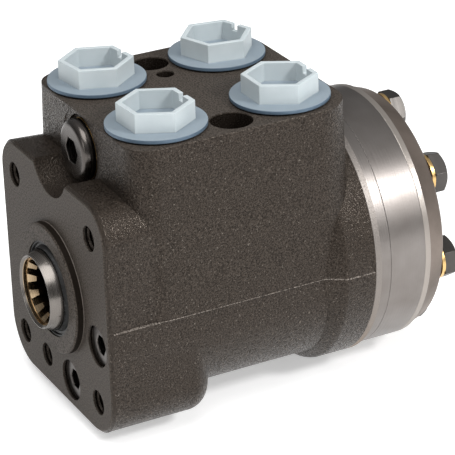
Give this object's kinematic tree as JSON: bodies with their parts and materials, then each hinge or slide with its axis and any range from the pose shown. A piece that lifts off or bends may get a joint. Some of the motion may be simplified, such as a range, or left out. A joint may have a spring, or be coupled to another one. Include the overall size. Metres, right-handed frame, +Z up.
{
  "type": "orbital steering unit",
  "caption": "Hydraulic orbital steering unit with a square flange, splined shaft bore, ported block, relief valve, and a gear set bolted behind.",
  "frame": {"origin": "shaft axis at the front mounting face, the centre of the column's bolt circle", "axes": "+Y along the shaft axis from the mounting face to the end cover, +Z up towards the face with the ports, +X to the right seen from the front with +Z up"},
  "size_m": [0.0902, 0.1377, 0.112],
  "materials": {
    "cast_body": "rough dark casting with machined front and top",
    "seal_rubber": "soft black",
    "hardened_steel": "ground",
    "spring_steel": "blued",
    "ground_plate": "bright, finely turned rim",
    "cover_steel": "machined band, dark back",
    "bolt_steel": "black oxide",
    "copper": "dull",
    "plug_steel": "bright",
    "white_plastic": "translucent white"
  },
  "bodies": {
    "body": {"housing": "cast_body", "dust_seal": "seal_rubber", "shaft_seal": "seal_rubber", "bearing_outer_race": "hardened_steel", "distributor_plate": "ground_plate", "gear_rim": "ground_plate", "end_cover": "cover_steel", "housing_seal": "seal_rubber", "plate_seal": "seal_rubber", "cover_seal": "seal_rubber", "bolt_washers": "copper", "cover_bolts": "bolt_steel", "relief_plug": "plug_steel", "relief_washer": "copper", "relief_spring": "spring_steel", "relief_seat": "hardened_steel", "shock_screws": "bolt_steel", "check_bushing": "hardened_steel"},
    "sleeve_set": {"sleeve": "hardened_steel", "spring_ring": "spring_steel", "centring_springs": "spring_steel", "cross_pin": "hardened_steel", "bearing_inner_race": "hardened_steel"},
    "input_spool": {"spool": "hardened_steel"},
    "bearing_needles": {"bearing_cage": "hardened_steel", "bearing_rollers": "hardened_steel"},
    "orbit_carrier": {"cardan_spacer": "hardened_steel"},
    "inner_gear": {"rotor": "ground_plate"},
    "cardan": {"cardan_shaft": "hardened_steel"},
    "relief_valve": {"relief_poppet": "hardened_steel"},
    "check_valve": {"check_ball": "hardened_steel"},
    "plug_front_left": {"plug_front_left": "white_plastic"},
    "plug_front_right": {"plug_front_right": "white_plastic"},
    "plug_rear_left": {"plug_rear_left": "white_plastic"},
    "plug_rear_right": {"plug_rear_right": "white_plastic"}
  },
  "joints": [
    {"name": "sleeve_turn", "type": "hinge", "parent": "body", "child": "sleeve_set", "pos_m": [0, 0, 0], "axis": [0, 1, 0], "continuous": true},
    {"name": "spool_deflect", "type": "hinge", "parent": "sleeve_set", "child": "input_spool", "pos_m": [0, 0, 0], "axis": [0, 1, 0], "range_deg": [-8, 8], "stiffness_Nm_per_rad": 4, "deforming": ["centring_springs"]},
    {"name": "bearing_turn", "type": "hinge", "parent": "body", "child": "bearing_needles", "pos_m": [0, 0, 0], "axis": [0, 1, 0], "continuous": true},
    {"name": "rotor_orbit", "type": "hinge", "parent": "body", "child": "orbit_carrier", "pos_m": [0, 0, 0], "axis": [0, 1, 0], "continuous": true},
    {"name": "rotor_spin", "type": "hinge", "parent": "orbit_carrier", "child": "inner_gear", "pos_m": [0, 0.10705, 0.003], "axis": [0, 1, 0], "continuous": true},
    {"name": "cardan_spin", "type": "hinge", "parent": "orbit_carrier", "child": "cardan", "pos_m": [0, 0.038, 0], "axis": [0, 0.9991, 0.0434], "continuous": true},
    {"name": "relief_lift", "type": "slide", "parent": "body", "child": "relief_valve", "axis": [0, -1, 0], "range_m": [0, 0.002], "stiffness_N_per_m": 2000, "deforming": ["relief_spring"]},
    {"name": "check_lift", "type": "slide", "parent": "body", "child": "check_valve", "axis": [0, -1, 0], "range_m": [0, 0.0016]},
    {"name": "plug_front_left_pull", "type": "slide", "parent": "body", "child": "plug_front_left", "axis": [0, 0, 1], "range_m": [0, 0.025]},
    {"name": "plug_front_right_pull", "type": "slide", "parent": "body", "child": "plug_front_right", "axis": [0, 0, 1], "range_m": [0, 0.025]},
    {"name": "plug_rear_left_pull", "type": "slide", "parent": "body", "child": "plug_rear_left", "axis": [0, 0, 1], "range_m": [0, 0.025]},
    {"name": "plug_rear_right_pull", "type": "slide", "parent": "body", "child": "plug_rear_right", "axis": [0, 0, 1], "range_m": [0, 0.025]}
  ],
  "couplings": [
    {"joint": "bearing_turn", "follows": "sleeve_turn", "ratio": 0.5},
    {"joint": "rotor_orbit", "follows": "sleeve_turn", "ratio": -6},
    {"joint": "rotor_spin", "follows": "sleeve_turn", "ratio": 7},
    {"joint": "cardan_spin", "follows": "sleeve_turn", "ratio": 7}
  ]
}
